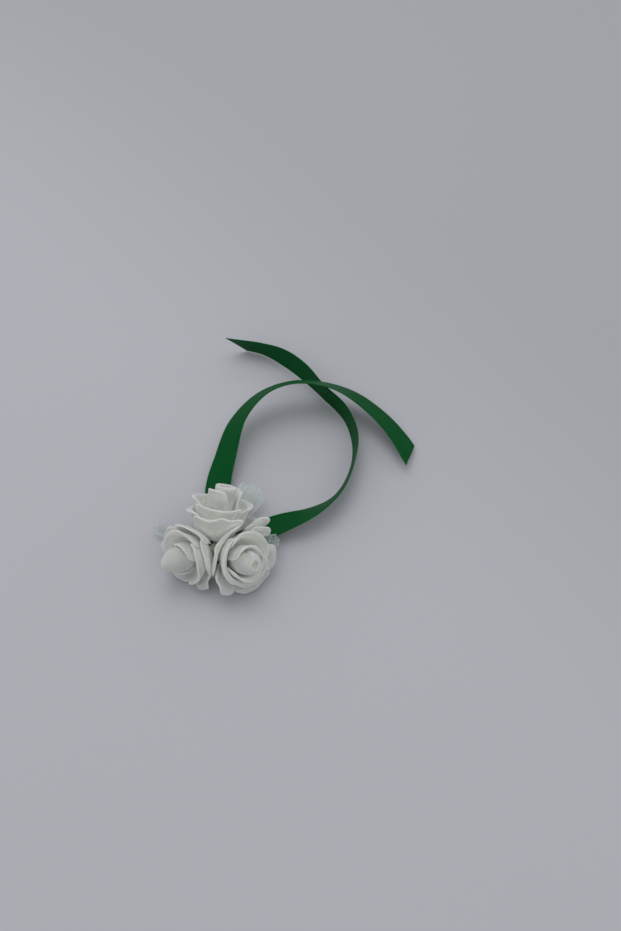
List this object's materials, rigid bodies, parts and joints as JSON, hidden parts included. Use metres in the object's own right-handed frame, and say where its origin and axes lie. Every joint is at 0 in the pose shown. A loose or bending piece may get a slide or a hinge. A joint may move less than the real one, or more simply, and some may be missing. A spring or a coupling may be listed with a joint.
{
  "type": "wrist corsage",
  "caption": "Wrist corsage: a cluster of white foam roses with tulle leaves on a round felt pad, with green satin ribbon ties laid as a loop.",
  "frame": {"origin": "centre of the felt pad's underside, the face that lies against the wrist", "axes": "+Z out of the pad towards the flowers, +Y from the pad into the ribbon loop, +X to the right of +Y"},
  "size_m": [0.1531, 0.184, 0.0375],
  "materials": {
    "rose_foam": "matt white craft foam with a fine skin, soft rounded edges",
    "ribbon_satin": "deep green satin ribbon with a soft sheen and woven edges",
    "tulle_net": "sheer white net, pleated",
    "felt": "plain white felt",
    "hot_glue": "cloudy cream hot-melt glue"
  },
  "bodies": {
    "root": {"felt_pad": "felt", "glue_mound": "hot_glue", "left_rose_bud": "rose_foam", "left_rose_hub": "rose_foam", "left_rose_inner_petal_front": "rose_foam", "left_rose_inner_petal_rear": "rose_foam", "left_rose_middle_petal_rear": "rose_foam", "left_rose_middle_petal_right": "rose_foam", "left_rose_outer_petal_bottom": "rose_foam", "left_rose_outer_petal_left": "rose_foam", "left_rose_outer_petal_rear": "rose_foam", "left_rose_outer_petal_right": "rose_foam", "left_rose_outer_petal_top": "rose_foam", "ribbon_tie_left": "ribbon_satin", "ribbon_tie_right": "ribbon_satin", "right_rose_bud": "rose_foam", "right_rose_hub": "rose_foam", "right_rose_inner_petal_front": "rose_foam", "right_rose_inner_petal_rear": "rose_foam", "right_rose_middle_petal_bottom": "rose_foam", "right_rose_middle_petal_left": "rose_foam", "right_rose_middle_petal_right": "rose_foam", "right_rose_outer_petal_bottom": "rose_foam", "right_rose_outer_petal_finger": "rose_foam", "right_rose_outer_petal_left": "rose_foam", "right_rose_outer_petal_rear": "rose_foam", "right_rose_outer_petal_right": "rose_foam", "top_rose_bud": "rose_foam", "top_rose_hub": "rose_foam", "top_rose_inner_petal_back": "rose_foam", "top_rose_inner_petal_front": "rose_foam", "top_rose_middle_petal_front": "rose_foam", "top_rose_middle_petal_left": "rose_foam", "top_rose_middle_petal_right": "rose_foam", "top_rose_outer_petal_back_left": "rose_foam", "top_rose_outer_petal_back_right": "rose_foam", "top_rose_outer_petal_front": "rose_foam", "top_rose_outer_petal_left": "rose_foam", "top_rose_outer_petal_right": "rose_foam", "tulle_leaf_back": "tulle_net", "tulle_leaf_left": "tulle_net", "tulle_leaf_right": "tulle_net"}
  },
  "joints": []
}
